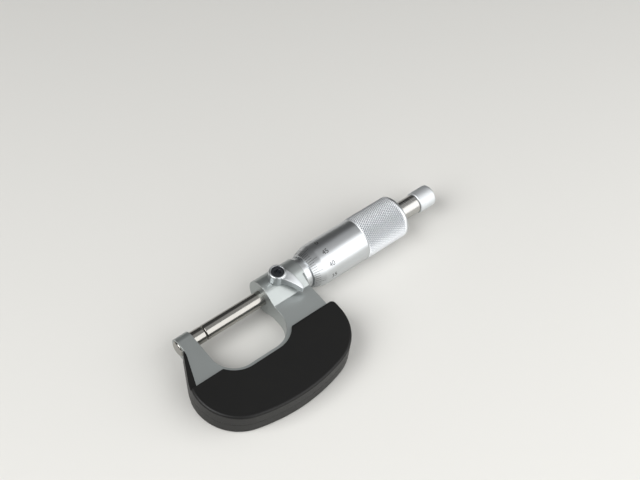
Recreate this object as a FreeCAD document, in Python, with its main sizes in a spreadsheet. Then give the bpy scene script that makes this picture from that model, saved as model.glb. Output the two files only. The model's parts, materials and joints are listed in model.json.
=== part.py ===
"""Outside micrometer, 0 to 25 mm, as a parametric assembly in millimetres.

Frame of the part: the origin is the centre of the anvil's measuring face, +X runs along the
spindle towards the ratchet, the bow hangs towards -Y, and +Z is the normal of the front cover.
The spindle stands half a millimetre open.
"""
import FreeCAD
import Part
import math
import os

Vector = FreeCAD.Vector

ALONG_X = FreeCAD.Rotation(Vector(0, 1, 0), 90)
UPRIGHT = FreeCAD.Rotation()

# Driving dimensions: alias, value in mm or degrees, what it measures.
SIZES = [
    ("web_thickness", 8.0, "thickness of the forged web between its two flat faces"),
    ("throat_left", -5.2, "inner face of the anvil arm"),
    ("throat_right", 27.8, "inner face of the barrel boss"),
    ("throat_depth", 22.8, "axis to the floor of the throat"),
    ("throat_corner", 10.3, "radius of the two lower corners of the throat"),
    ("arm_width", 6.2, "width of the anvil arm along the axis"),
    ("arm_flank_angle", 20.0, "lean of the arm's outer flank"),
    ("arm_flank_blend", 10.0, "radius between the arm's end and its flank"),
    ("bow_reach", 5.8, "how far the bow stands out past the arm's end"),
    ("bow_step", 1.1, "how far the bow stays back from the boss's ratchet side face"),
    ("bow_corner", 16.4, "radius of the bow's two lower corners"),
    ("bow_corner_drop", 24.0, "axis to the centres of those corners"),
    ("bow_flat_radius", 69.6, "radius of the flat arc between those corners"),
    ("boss_length", 18.5, "length of the barrel boss"),
    ("boss_radius", 7.35, "outer radius of the barrel boss"),
    ("boss_crease", 8.2, "axis to the crease where the boss's flanks meet the web"),
    ("cover_plate", 1.75, "thickness of a cover over the web"),
    ("cover_wall", 2.6, "thickness of a cover's rim outside the bow"),
    ("cover_top", 19.4, "axis to the straight upper ends of the covers"),
    ("cover_margin", 1.8, "bare metal left round the throat"),
    ("cover_round", 1.1, "rounding of a cover's outer edge"),
    ("cover_corner", 2.0, "rounding of a cover's upper corner beside the boss"),
    ("flank_top", 3.9, "axis to the point where the rim dies out on the arm"),
    ("flank_top_wall", 0.5, "thickness of the rim where it dies out"),
    ("cover_screw_left", 8.7, "bow's left edge to the left cover screw"),
    ("cover_screw_right", 8.7, "bow's right edge to the right cover screw"),
    ("cover_screw_drop", 30.0, "axis to the cover screws"),
    ("cover_post_radius", 2.1, "moulded post that takes a cover screw"),
    ("cover_post_play", 0.1, "clearance of the post in the web"),
    ("cover_screw_radius", 1.2, "shank of a cover screw"),
    ("cover_screw_head", 2.2, "head radius of a cover screw"),
    ("cover_screw_play", 0.15, "clearance of the screw in the rear cover"),
    ("cover_screw_length", 8.5, "length of a cover screw under the cover's face"),
    ("cover_screw_cross", 2.4, "span of a cover screw's cross recess"),
    ("cover_screw_slot", 0.5, "width of one arm of that recess"),
    ("cover_screw_recess", 0.7, "depth of that recess"),
    ("anvil_radius", 3.175, "radius of the anvil and of the spindle's front"),
    ("anvil_proud", 0.5, "length of the anvil that stands out behind the arm"),
    ("face_chamfer", 0.15, "chamfer round both measuring faces"),
    ("anvil_rear_chamfer", 0.45, "chamfer at the rear of the anvil"),
    ("spindle_gap", 0.5, "opening between the measuring faces"),
    ("spindle_play", 0.025, "radial play of the spindle in its bores"),
    ("spindle_stroke", 25.0, "greatest opening between the measuring faces"),
    ("thread_radius", 3.0, "outer radius of the spindle's thread"),
    ("thread_play", 0.03, "radial play drawn in the thread"),
    ("hub_seat", 5.3, "length of the hub sleeve that sits in the boss"),
    ("hub_radius", 5.5, "outer radius of the hub sleeve"),
    ("hub_overhang", 9.2, "length of the hub sleeve behind the graduated sleeve"),
    ("hub_thread_length", 16.0, "length of the thread in the hub sleeve"),
    ("hub_taper_length", 9.5, "length of the tapered outside thread"),
    ("hub_end_radius", 5.1, "outer radius of the split end"),
    ("hub_slot_length", 13.0, "length of the three slots"),
    ("hub_slot_width", 0.8, "width of a slot"),
    ("nut_gap", 0.4, "graduated sleeve to the adjusting nut"),
    ("nut_length", 6.0, "length of the adjusting nut"),
    ("nut_radius", 6.2, "outer radius of the adjusting nut"),
    ("nut_notch", 1.4, "width and depth of the nut's spanner notches"),
    ("sleeve_radius", 6.5, "outer radius of the graduated sleeve"),
    ("sleeve_play", 0.04, "fit of the graduated sleeve on the hub"),
    ("sleeve_length", 28.5, "length of the graduated sleeve"),
    ("collar_length", 0.9, "collar at the front of the sleeve"),
    ("collar_radius", 6.8, "radius of that collar"),
    ("spanner_hole", 0.55, "radius of the spanner hole in the sleeve"),
    ("spanner_hole_place", 1.8, "boss to the spanner hole"),
    ("thimble_gap", 2.9, "boss to the thimble's front edge"),
    ("thimble_length", 49.1, "length of the thimble"),
    ("thimble_edge_radius", 7.3, "radius of the bevelled front edge"),
    ("thimble_bevel", 5.0, "length of the bevel"),
    ("thimble_radius", 9.0, "outer radius of the thimble"),
    ("thimble_play", 0.08, "radial play of the thimble on the sleeve"),
    ("thimble_rear", 8.3, "thickness of the thimble's rear wall"),
    ("thimble_round", 1.2, "rounding of the thimble's rear edge"),
    ("knurl_length", 21.9, "length of the knurled grip"),
    ("knurl_radius", 9.2, "outer radius of the knurled grip"),
    ("seat_length", 5.5, "length of the spindle's taper"),
    ("seat_large", 3.7, "radius at the large end of the taper"),
    ("seat_small", 2.9, "radius at the small end of the taper"),
    ("seat_play", 0.03, "gap drawn between taper and thimble"),
    ("seat_gap", 0.8, "small end of the taper to the ratchet body's flange"),
    ("stud_radius", 1.47, "threaded stud of the ratchet body"),
    ("stud_play", 0.03, "gap drawn round that stud"),
    ("stud_length", 8.5, "length of that stud in the spindle"),
    ("stud_room", 1.0, "tapped depth left beyond the stud"),
    ("flange_radius", 5.0, "flange of the ratchet body"),
    ("flange_thickness", 1.5, "thickness of that flange"),
    ("flange_play", 0.05, "radial gap round that flange"),
    ("neck_radius", 4.1, "neck between thimble and ratchet"),
    ("neck_length", 10.9, "length of that neck"),
    ("stem_radius", 1.9, "stem that carries the ratchet"),
    ("stem_flat", 1.5, "axis to the two flats of the stem"),
    ("ratchet_play", 0.05, "running play of the ratchet parts"),
    ("knob_gap", 0.2, "gap between neck and knob"),
    ("knob_length", 8.6, "length of the ratchet knob"),
    ("knob_radius", 4.65, "outer radius of the ratchet knob"),
    ("knob_round", 1.0, "rounding of the knob's end"),
    ("knob_bore", 3.7, "bore of the knob"),
    ("knob_web", 1.8, "thickness of the knob's web"),
    ("knob_recess", 3.1, "radius of the recess for the end screw"),
    ("knob_recess_depth", 1.5, "depth of that recess"),
    ("pawl_thickness", 2.0, "thickness of the toothed pawl"),
    ("pawl_radius", 3.55, "outer radius of the toothed pawl"),
    ("tooth_count", 12, "teeth of the ratchet"),
    ("tooth_depth", 0.6, "depth of a ratchet tooth"),
    ("tooth_play", 0.12, "gap drawn between the two sets of teeth"),
    ("tooth_lag_angle", 1.5, "angle that the pawl lags, so that its steep flanks stay clear"),
    ("spring_wire", 0.45, "thickness of the ratchet spring's wire"),
    ("spring_radius", 2.6, "mean radius of the ratchet spring"),
    ("spring_turn_count", 3, "turns of the ratchet spring"),
    ("end_screw_head", 2.9, "head radius of the end screw"),
    ("end_screw_thickness", 1.0, "head thickness of the end screw"),
    ("end_screw_radius", 0.78, "shank radius of the end screw"),
    ("end_screw_length", 4.0, "shank length of the end screw"),
    ("end_screw_slot", 0.6, "width and depth of the end screw's slot"),
    ("lock_place", 7.3, "boss's throat side face to the lock's axis"),
    ("lock_hole", 2.0, "radius of the lock's hole in the boss"),
    ("lock_play", 0.05, "radial play of the lock"),
    ("lock_lift", 0.15, "gap between the boss's top and the hub"),
    ("lock_hub_radius", 3.4, "radius of the lock's hub"),
    ("lock_hub_height", 4.6, "height of the lock's hub"),
    ("lock_hub_round", 0.5, "rounding of the hub's upper edge"),
    ("lock_pocket_depth", 2.7, "depth of the pocket in the hub for the cap screw"),
    ("lock_pocket_radius", 2.6, "radius of that pocket"),
    ("lock_plug_length", 1.6, "length of the brass plug above the spindle's bore"),
    ("lock_plug_gap", 0.1, "gap between plug and stem"),
    ("lock_screw_head", 2.48, "head radius of the lock's cap screw"),
    ("lock_screw_sunk", 0.35, "depth of the screw's head below the hub's top"),
    ("lock_screw_radius", 1.0, "shank radius of the cap screw"),
    ("lock_screw_length", 2.6, "shank length of the cap screw"),
    ("lock_socket", 1.25, "half the width across flats of the socket"),
    ("lock_socket_depth", 1.3, "depth of the socket"),
    ("lever_angle", -60.0, "direction of the lever from +X"),
    ("lever_length", 11.3, "lock's axis to the lever's tip"),
    ("lever_root_width", 5.4, "width of the lever at the lock's axis"),
    ("lever_tip_width", 1.5, "width of the lever at its tip"),
    ("lever_tip_round", 0.7, "rounding of the lever's tip, seen from above"),
    ("lever_bow", 0.5, "sideways bow of the lever, seen from above"),
    ("lever_root_top", 4.3, "hub's foot to the lever's top at the lock's axis"),
    ("lever_root_bottom", 0.4, "hub's foot to the lever's underside at the lock's axis"),
    ("lever_tip_rise", 2.4, "underside of the lever's tip to the hub's foot"),
    ("lever_tip_height", 2.4, "height of the lever's tip"),
    ("lever_crown", 1.2, "arch of the lever over its straight line, seen from the side"),
]

# Stations along the axis, from the arm to the ratchet's end, as expressions of those dimensions.
ARM_OUTER = "(Sizes.throat_left - Sizes.arm_width)"
BOSS_END = "(Sizes.throat_right + Sizes.boss_length)"
BOW_LEFT = f"({ARM_OUTER} - Sizes.bow_reach)"
BOW_RIGHT = f"({BOSS_END} - Sizes.bow_step)"
SCREW_PLACES = {
    "left": f"({BOW_LEFT} + Sizes.cover_screw_left)",
    "right": f"({BOW_RIGHT} - Sizes.cover_screw_right)",
}
LOCK_PLACE = "(Sizes.throat_right + Sizes.lock_place)"
HUB_START = f"({BOSS_END} - Sizes.hub_seat)"
SLEEVE_END = f"({BOSS_END} + Sizes.sleeve_length)"
HUB_END = f"({SLEEVE_END} + Sizes.hub_overhang)"
HUB_THREAD_START = f"({HUB_END} - Sizes.hub_thread_length)"
HUB_TAPER_START = f"({HUB_END} - Sizes.hub_taper_length)"
NUT_START = f"({SLEEVE_END} + Sizes.nut_gap)"
NUT_END = f"({NUT_START} + Sizes.nut_length)"
THREAD_START = f"({HUB_THREAD_START} - Sizes.spindle_stroke)"
THIMBLE_FRONT = f"({BOSS_END} + Sizes.thimble_gap)"
THIMBLE_END = f"({THIMBLE_FRONT} + Sizes.thimble_length)"
THIMBLE_WALL = f"({THIMBLE_END} - Sizes.thimble_rear)"
KNURL_START = f"({THIMBLE_END} - Sizes.knurl_length)"
FLANGE_START = f"({THIMBLE_END} - Sizes.flange_thickness)"
SEAT_END = f"({FLANGE_START} - Sizes.seat_gap)"
SEAT_START = f"({SEAT_END} - Sizes.seat_length)"
NECK_END = f"({THIMBLE_END} + Sizes.neck_length)"
KNOB_START = f"({NECK_END} + Sizes.knob_gap)"
KNOB_END = f"({KNOB_START} + Sizes.knob_length)"
WEB_END = f"({KNOB_END} - Sizes.knob_recess_depth)"
WEB_START = f"({WEB_END} - Sizes.knob_web)"
STEM_END = f"({WEB_END} + Sizes.ratchet_play)"

# Heights over the axis.
LOCK_FOOT = "(Sizes.boss_radius + Sizes.lock_lift)"
LOCK_TOP = f"({LOCK_FOOT} + Sizes.lock_hub_height)"
STEM_TOP = f"({LOCK_TOP} - Sizes.lock_pocket_depth)"
PLUG_TOP = "(Sizes.anvil_radius + Sizes.spindle_play + Sizes.lock_plug_length)"
STEM_BOTTOM = f"({PLUG_TOP} + Sizes.lock_plug_gap)"
COVER_FACE = "(Sizes.web_thickness / 2 + Sizes.cover_plate)"


def make_sheet(document):
    """Writes the driving dimensions into a spreadsheet and returns it."""
    sheet = document.addObject("Spreadsheet::Sheet", "Sizes")
    for row, (alias, value, note) in enumerate(SIZES, start=1):
        sheet.set(f"A{row}", note)
        sheet.set(f"B{row}", str(value))
        sheet.setAlias(f"B{row}", alias)
    document.recompute()
    return sheet


def bind(item, **sizes):
    """Binds properties of an object to expressions in the sheet's aliases."""
    for prop, expression in sizes.items():
        item.setExpression(prop.replace("__", "."), expression)
    return item


def place(item, x="0", y="0", z="0", turn=UPRIGHT):
    """Gives an object its turn and binds its place to expressions."""
    item.Placement = FreeCAD.Placement(Vector(0, 0, 0), turn)
    for axis, expression in (("x", x), ("y", y), ("z", z)):
        item.setExpression(f"Placement.Base.{axis}", expression)
    return item


def bar(document, name, start, end, radius, end_radius=None):
    """Makes a cylinder or cone along +X between two stations."""
    kind = "Part::Cylinder" if end_radius is None else "Part::Cone"
    item = document.addObject(kind, name)
    if end_radius is None:
        bind(item, Radius=radius)
    else:
        bind(item, Radius1=radius, Radius2=end_radius)
    bind(item, Height=f"({end}) - ({start})")
    return place(item, x=start, turn=ALONG_X)


def post(document, name, x, y, bottom, top, radius, top_radius=None):
    """Makes a cylinder or cone along +Z between two heights."""
    kind = "Part::Cylinder" if top_radius is None else "Part::Cone"
    item = document.addObject(kind, name)
    if top_radius is None:
        bind(item, Radius=radius)
    else:
        bind(item, Radius1=radius, Radius2=top_radius)
    bind(item, Height=f"({top}) - ({bottom})")
    return place(item, x=x, y=y, z=bottom)


def fuse(document, name, items):
    """Joins the items into one solid."""
    if len(items) == 1:
        return items[0]
    joined = document.addObject("Part::MultiFuse", name)
    joined.Shapes = items
    joined.Refine = True
    return joined


def cut(document, name, base, tools):
    """Takes the tools out of the base."""
    piece = document.addObject("Part::Cut", name)
    piece.Base = base
    piece.Tool = fuse(document, name + "_tools", tools)
    piece.Refine = True
    return piece


def turned(document, name, steps, bores=()):
    """Makes a turned piece from outer steps and bores, each (start, end, radius[, radius])."""
    outer = [bar(document, f"{name}_step_{index}", *step) for index, step in enumerate(steps)]
    body = fuse(document, f"{name}_outer", outer)
    if not bores:
        return body
    inner = [bar(document, f"{name}_bore_{index}", *bore) for index, bore in enumerate(bores)]
    return cut(document, f"{name}_bored", body, inner)


class Loop:
    """A closed outline of lines and arcs, drawn in order."""

    def __init__(self):
        """Starts an empty outline."""
        self.edges = []

    def line(self, start, end):
        """Adds a straight edge."""
        self.edges.append(Part.LineSegment(Vector(*start, 0), Vector(*end, 0)))

    def arc(self, centre, radius, first, last):
        """Adds an arc from the first to the last angle, in radians, counterclockwise."""
        circle = Part.Circle(Vector(*centre, 0), Vector(0, 0, 1), radius)
        self.edges.append(Part.ArcOfCircle(circle, first, last))

    def draw(self, sketch):
        """Draws the outline in a sketch."""
        sketch.addGeometry(self.edges, False)


def polar(centre, radius, angle):
    """Returns the point at an angle on a circle."""
    return (centre[0] + radius * math.cos(angle), centre[1] + radius * math.sin(angle))


def arm_outer(size):
    """Returns the place of the arm's outer face."""
    return size["throat_left"] - size["arm_width"]


class Bow:
    """Geometry that the forged web and the two covers share.

    The lower edge is a basket arch: two corner arcs joined by one flat arc that is tangent to both.
    """

    def __init__(self, size, offset):
        """Works out the arch, set outwards from the forged web by the offset."""
        left_edge = arm_outer(size) - size["bow_reach"]
        right_edge = size["throat_right"] + size["boss_length"] - size["bow_step"]
        height = -size["bow_corner_drop"]
        self.left = (left_edge + size["bow_corner"], height)
        self.right = (right_edge - size["bow_corner"], height)
        self.corner = size["bow_corner"] + offset
        self.flat = size["bow_flat_radius"] + offset
        self.right_edge = right_edge + offset
        spread = (self.right[0] - self.left[0]) / 2
        swing = size["bow_flat_radius"] - size["bow_corner"]
        self.lean = math.asin(spread / swing)
        self.flat_centre = (self.left[0] + spread, height + swing * math.cos(self.lean))

    def arch(self, loop, left_angle, right_angle):
        """Adds the arch from the left angle, round the bottom, to the right angle."""
        left_join = 1.5 * math.pi - self.lean
        right_join = 1.5 * math.pi + self.lean
        loop.arc(self.left, self.corner, left_angle, left_join)
        loop.arc(self.flat_centre, self.flat, left_join, right_join)
        loop.arc(self.right, self.corner, right_join, 2 * math.pi + right_angle)


def throat(loop, size, offset, top_left, top_right):
    """Adds the throat's outline, set outwards by the offset, between two heights."""
    left = size["throat_left"] - offset
    right = size["throat_right"] + offset
    corner = size["throat_corner"] + offset
    corner_height = size["throat_corner"] - size["throat_depth"]
    floor = -size["throat_depth"] - offset
    left_start, right_start = math.pi, 1.5 * math.pi
    left_height, right_height = corner_height, corner_height
    if top_left < corner_height:
        left_start = math.pi + math.asin((corner_height - top_left) / corner)
        left_height = top_left
    right_end = 2 * math.pi
    if top_right < corner_height:
        right_end = 2 * math.pi - math.asin((corner_height - top_right) / corner)
        right_height = top_right
    left_centre = (left + corner, corner_height)
    right_centre = (right - corner, corner_height)
    if top_left > left_height:
        loop.line((left, top_left), (left, left_height))
    loop.arc(left_centre, corner, left_start, 1.5 * math.pi)
    loop.line((left_centre[0], floor), (right_centre[0], floor))
    loop.arc(right_centre, corner, right_start, right_end)
    if top_right > right_height:
        loop.line((right, right_height), (right, top_right))
    return polar(left_centre, corner, left_start), polar(right_centre, corner, right_end)


def arm_flank(size, bow):
    """Returns the points and the blend arc of the arm's outer flank."""
    lean = math.radians(size["arm_flank_angle"])
    edge = arm_outer(size)
    foot = polar(bow.left, bow.corner, math.pi - lean)
    run = (edge - foot[0]) / math.sin(lean)
    knee = foot[1] + run * math.cos(lean)
    reach = size["arm_flank_blend"] * math.tan(lean / 2)
    lower = (edge - reach * math.sin(lean), knee - reach * math.cos(lean))
    upper = (edge, knee + reach)
    centre = (edge - size["arm_flank_blend"], upper[1])
    return foot, lower, upper, centre, lean


def web_outline(size):
    """Returns the outline of the forged web, up to the spindle's axis."""
    loop = Loop()
    bow = Bow(size, 0.0)
    throat(loop, size, 0.0, 0.0, 0.0)
    loop.line((size["throat_right"], 0.0), (bow.right_edge, 0.0))
    loop.line((bow.right_edge, 0.0), (bow.right_edge, bow.right[1]))
    foot, lower, upper, centre, lean = arm_flank(size, bow)
    bow.arch(loop, math.pi - lean, 0.0)
    loop.line(foot, lower)
    loop.arc(centre, size["arm_flank_blend"], -lean, 0.0)
    loop.line(upper, (arm_outer(size), 0.0))
    loop.line((arm_outer(size), 0.0), (size["throat_left"], 0.0))
    return loop


def cover_outline(size):
    """Returns the outline of a cover's plate, below its straight upper ends."""
    loop = Loop()
    bow = Bow(size, size["cover_wall"])
    top = -size["cover_top"]
    left_inner, right_inner = throat(loop, size, size["cover_margin"], top, top)
    left_angle = math.pi - math.asin((top - bow.left[1]) / bow.corner)
    bow.arch(loop, left_angle, 0.0)
    right = bow.right_edge
    corner = size["cover_corner"]
    loop.line((right, bow.right[1]), (right, top - corner))
    loop.arc((right - corner, top - corner), corner, 0.0, math.pi / 2)
    loop.line((right - corner, top), right_inner)
    loop.line(left_inner, polar(bow.left, bow.corner, left_angle))
    return loop


def flank_outline(size):
    """Returns the outline of the rim's tail, which sweeps up the arm and dies out."""
    loop = Loop()
    rim = Bow(size, size["cover_wall"])
    tip = (arm_outer(size) - size["flank_top_wall"], -size["flank_top"])
    away = math.hypot(tip[0] - rim.left[0], tip[1] - rim.left[1])
    bearing = math.atan2(tip[1] - rim.left[1], tip[0] - rim.left[0])
    touch_angle = bearing + math.acos(rim.corner / away)
    touch = polar(rim.left, rim.corner, touch_angle)
    inner = ((arm_outer(size) + size["throat_left"]) / 2, tip[1])
    loop.line(tip, touch)
    loop.arc(rim.left, rim.corner, touch_angle, math.pi)
    low = (rim.left[0] - rim.corner, rim.left[1])
    loop.line(low, (inner[0], low[1]))
    loop.line((inner[0], low[1]), inner)
    loop.line(inner, tip)
    return loop


def add_sketch(body, name, loop, plane="XY_Plane", height="0"):
    """Adds a sketch with one closed outline to a body, on or over one of its origin's planes."""
    sketch = body.newObject("Sketcher::SketchObject", name)
    support = [item for item in body.Origin.OriginFeatures if item.Role == plane][0]
    sketch.AttachmentSupport = [(support, "")]
    sketch.MapMode = "FlatFace"
    sketch.setExpression("AttachmentOffset.Base.z", height)
    loop.draw(sketch)
    return sketch


def add_bore(body, name, radius, height, x="0", y="0", z="0", turn=UPRIGHT):
    """Drills a round hole in a body."""
    hole = body.newObject("PartDesign::SubtractiveCylinder", name)
    bind(hole, Radius=radius, Height=height)
    return place(hole, x, y, z, turn)


def make_frame(document, size):
    """Makes the forged frame: web, round arm end, barrel boss, fillets and bores."""
    body = document.addObject("PartDesign::Body", "frame")
    sketch = add_sketch(body, "web_profile", web_outline(size))
    web = body.newObject("PartDesign::Pad", "web")
    web.Profile = sketch
    web.SideType = "Symmetric"
    bind(web, Length="Sizes.web_thickness")
    arm = body.newObject("PartDesign::AdditiveCylinder", "arm_end")
    bind(arm, Radius="Sizes.web_thickness / 2", Height="Sizes.arm_width")
    place(arm, x=ARM_OUTER, turn=ALONG_X)
    boss = body.newObject("PartDesign::AdditiveCylinder", "barrel_boss")
    bind(boss, Radius="Sizes.boss_radius", Height="Sizes.boss_length")
    place(boss, x="Sizes.throat_right", turn=ALONG_X)
    flank_sketch = add_sketch(body, "boss_flank_profile", flank_profile(size), plane="YZ_Plane",
                              height="Sizes.throat_right")
    flank = body.newObject("PartDesign::Pad", "boss_flank")
    flank.Profile = flank_sketch
    bind(flank, Length="Sizes.boss_length - Sizes.bow_step")
    add_bore(body, "anvil_bore", "Sizes.anvil_radius", "Sizes.arm_width", x=ARM_OUTER, turn=ALONG_X)
    add_bore(body, "spindle_bore", "Sizes.anvil_radius + Sizes.spindle_play",
             "Sizes.boss_length - Sizes.hub_seat", x="Sizes.throat_right", turn=ALONG_X)
    add_bore(body, "hub_bore", "Sizes.hub_radius", "Sizes.hub_seat", x=HUB_START, turn=ALONG_X)
    add_bore(body, "lock_hole", "Sizes.lock_hole", "Sizes.boss_radius", x=LOCK_PLACE)
    for hand, x in SCREW_PLACES.items():
        add_bore(body, f"post_hole_{hand}", "Sizes.cover_post_radius + Sizes.cover_post_play",
                 "Sizes.web_thickness", x=x, y="-Sizes.cover_screw_drop", z="-Sizes.web_thickness / 2")
    return body


def flank_profile(size):
    """Returns the section that blends the round boss into the web, in the plane across the axis.

    Each flank is straight: it leaves the boss as a tangent and meets the web's face in a crease.
    """
    loop = Loop()
    half = size["web_thickness"] / 2
    crease = size["boss_crease"]
    away = math.hypot(crease, half)
    bearing = math.atan2(crease, half) - math.acos(size["boss_radius"] / away)
    touch = (-size["boss_radius"] * math.sin(bearing), size["boss_radius"] * math.cos(bearing))
    corners = [touch, (-crease, half), (-crease, -half), (touch[0], -touch[1])]
    for start, end in zip(corners, corners[1:] + corners[:1]):
        loop.line(start, end)
    return loop


def make_cover(document, size, name, side):
    """Makes a moulded cover: plate, rim, tail up the arm, and posts or screw holes.

    side is 1 for the front cover, whose posts take the screws, and -1 for the rear one.
    """
    body = document.addObject("PartDesign::Body", name)
    plate_sketch = add_sketch(body, f"{name}_plate_profile", cover_outline(size))
    plate = body.newObject("PartDesign::Pad", f"{name}_plate")
    plate.Profile = plate_sketch
    plate.Reversed = side < 0
    bind(plate, Length="Sizes.web_thickness / 2 + Sizes.cover_plate")
    document.recompute()
    rounded = body.newObject("PartDesign::Fillet", f"{name}_rounding")
    rounded.Base = (plate, rim_edges(plate.Shape, size, side))
    bind(rounded, Radius="Sizes.cover_round")
    tail_sketch = add_sketch(body, f"{name}_tail_profile", flank_outline(size))
    tail = body.newObject("PartDesign::Pad", f"{name}_tail")
    tail.Profile = tail_sketch
    tail.Reversed = side < 0
    bind(tail, Length="Sizes.web_thickness / 2")
    web_sketch = add_sketch(body, f"{name}_web_profile", web_outline(size))
    pocket = body.newObject("PartDesign::Pocket", f"{name}_web_pocket")
    pocket.Profile = web_sketch
    pocket.Reversed = side > 0
    bind(pocket, Length="Sizes.web_thickness / 2")
    for hand, x in SCREW_PLACES.items():
        y = "-Sizes.cover_screw_drop"
        if side > 0:
            peg = body.newObject("PartDesign::AdditiveCylinder", f"{name}_post_{hand}")
            bind(peg, Radius="Sizes.cover_post_radius", Height="Sizes.web_thickness")
            place(peg, x, y, "-Sizes.web_thickness / 2")
            add_bore(body, f"{name}_pilot_{hand}", "Sizes.cover_screw_radius",
                     "Sizes.cover_screw_length - Sizes.cover_plate", x, y, "-Sizes.web_thickness / 2")
        else:
            low = f"-{COVER_FACE}"
            add_bore(body, f"{name}_hole_{hand}", "Sizes.cover_screw_radius + Sizes.cover_screw_play",
                     "Sizes.cover_plate", x, y, low)
            sink = body.newObject("PartDesign::SubtractiveCone", f"{name}_sink_{hand}")
            bind(sink, Radius1="Sizes.cover_screw_head + Sizes.cover_screw_play",
                 Radius2="Sizes.cover_screw_radius + Sizes.cover_screw_play",
                 Height="Sizes.cover_screw_head - Sizes.cover_screw_radius")
            place(sink, x, y, low)
    document.recompute()
    return body


def rim_edges(shape, size, side):
    """Names the edges of a cover's face that are rounded: all but the throat's and the upper ends."""
    names = []
    near = 1e-3
    level = side * (size["web_thickness"] / 2 + size["cover_plate"])
    left = size["throat_left"] - size["cover_margin"] - near
    right = size["throat_right"] + size["cover_margin"] + near
    floor = -size["throat_depth"] - size["cover_margin"] - near
    for index, edge in enumerate(shape.Edges, start=1):
        ends = [vertex.Point for vertex in edge.Vertexes]
        middle = edge.CenterOfMass
        on_face = all(abs(point.z - level) < near for point in ends)
        upper_end = all(abs(point.y + size["cover_top"]) < near for point in ends)
        at_throat = left < middle.x < right and middle.y > floor
        if on_face and not upper_end and not at_throat:
            names.append(f"Edge{index}")
    return names


def make_cover_screw(document, hand):
    """Makes one of the two countersunk screws that hold the covers, with its cross recess."""
    name = f"cover_screw_{hand}"
    x = SCREW_PLACES[hand]
    y = "-Sizes.cover_screw_drop"
    low = f"-{COVER_FACE}"
    head = "Sizes.cover_screw_head - Sizes.cover_screw_radius"
    cap = post(document, f"{name}_cap", x, y, low, f"{low} + {head}",
               "Sizes.cover_screw_head", "Sizes.cover_screw_radius")
    shank = post(document, f"{name}_shank", x, y, low, f"{low} + Sizes.cover_screw_length",
                 "Sizes.cover_screw_radius")
    solid = fuse(document, f"{name}_solid", [cap, shank])
    span = "Sizes.cover_screw_cross"
    width = "Sizes.cover_screw_slot"
    slots = []
    for index, (length, breadth) in enumerate(((span, width), (width, span))):
        slot = document.addObject("Part::Box", f"{name}_slot_{index}")
        bind(slot, Length=length, Width=breadth, Height="Sizes.cover_screw_recess")
        slots.append(place(slot, f"{x} - {length} / 2", f"{y} - {breadth} / 2", low))
    return cut(document, f"{name}_slotted", solid, slots)


def make_anvil(document):
    """Makes the fixed anvil, ground at its face and chamfered behind the arm."""
    rear = f"{ARM_OUTER} - Sizes.anvil_proud"
    radius = "Sizes.anvil_radius"
    steps = [
        (rear, f"{rear} + Sizes.anvil_rear_chamfer", f"{radius} - Sizes.anvil_rear_chamfer", radius),
        (f"{rear} + Sizes.anvil_rear_chamfer", "-Sizes.face_chamfer", radius),
        ("-Sizes.face_chamfer", "0", radius, f"{radius} - Sizes.face_chamfer"),
    ]
    return turned(document, "anvil", steps)


def make_spindle(document):
    """Makes the spindle: ground front, threaded shank, taper seat and tapped end."""
    face = "Sizes.spindle_gap"
    radius = "Sizes.anvil_radius"
    steps = [
        (face, f"{face} + Sizes.face_chamfer", f"{radius} - Sizes.face_chamfer", radius),
        (f"{face} + Sizes.face_chamfer", THREAD_START, radius),
        (THREAD_START, SEAT_START, "Sizes.thread_radius"),
        (SEAT_START, SEAT_END, "Sizes.seat_large", "Sizes.seat_small"),
    ]
    bores = [(f"{SEAT_END} - Sizes.stud_length - Sizes.stud_room", SEAT_END,
              "Sizes.stud_radius + Sizes.stud_play")]
    return turned(document, "spindle", steps, bores)


def make_hub_sleeve(document):
    """Makes the hub sleeve, pressed in the boss and split at its threaded rear end."""
    steps = [
        (HUB_START, HUB_TAPER_START, "Sizes.hub_radius"),
        (HUB_TAPER_START, HUB_END, "Sizes.hub_radius", "Sizes.hub_end_radius"),
    ]
    bores = [
        (HUB_START, HUB_THREAD_START, "Sizes.anvil_radius + Sizes.spindle_play"),
        (HUB_THREAD_START, HUB_END, "Sizes.thread_radius + Sizes.thread_play"),
    ]
    plain = turned(document, "hub", steps, bores)
    slots = []
    for index in range(3):
        slot = document.addObject("Part::Box", f"hub_slot_{index}")
        bind(slot, Length="Sizes.hub_slot_length", Width="Sizes.hub_slot_width",
             Height="Sizes.hub_radius")
        turn = 120 * index
        slot.Placement = FreeCAD.Placement(Vector(0, 0, 0), FreeCAD.Rotation(Vector(1, 0, 0), turn))
        slot.setExpression("Placement.Base.x", f"{HUB_END} - Sizes.hub_slot_length")
        slot.setExpression("Placement.Base.y", f"-Sizes.hub_slot_width / 2 * cos({turn} deg)")
        slot.setExpression("Placement.Base.z", f"-Sizes.hub_slot_width / 2 * sin({turn} deg)")
        slots.append(slot)
    return cut(document, "hub_split", plain, slots)


def make_adjusting_nut(document):
    """Makes the nut that closes the split hub on the spindle's thread."""
    taper = "(Sizes.hub_radius - Sizes.hub_end_radius) / Sizes.hub_taper_length"
    front = f"Sizes.hub_radius + Sizes.thread_play - ({NUT_START} - {HUB_TAPER_START}) * {taper}"
    rear = f"Sizes.hub_radius + Sizes.thread_play - ({NUT_END} - {HUB_TAPER_START}) * {taper}"
    ring = turned(document, "nut", [(NUT_START, NUT_END, "Sizes.nut_radius")],
                  [(NUT_START, NUT_END, front, rear)])
    notch = document.addObject("Part::Box", "nut_notches")
    bind(notch, Length="Sizes.nut_notch", Width="Sizes.nut_notch", Height="2 * Sizes.nut_radius")
    place(notch, f"{NUT_END} - Sizes.nut_notch", "-Sizes.nut_notch / 2", "-Sizes.nut_radius")
    return cut(document, "nut_notched", ring, [notch])


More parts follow.
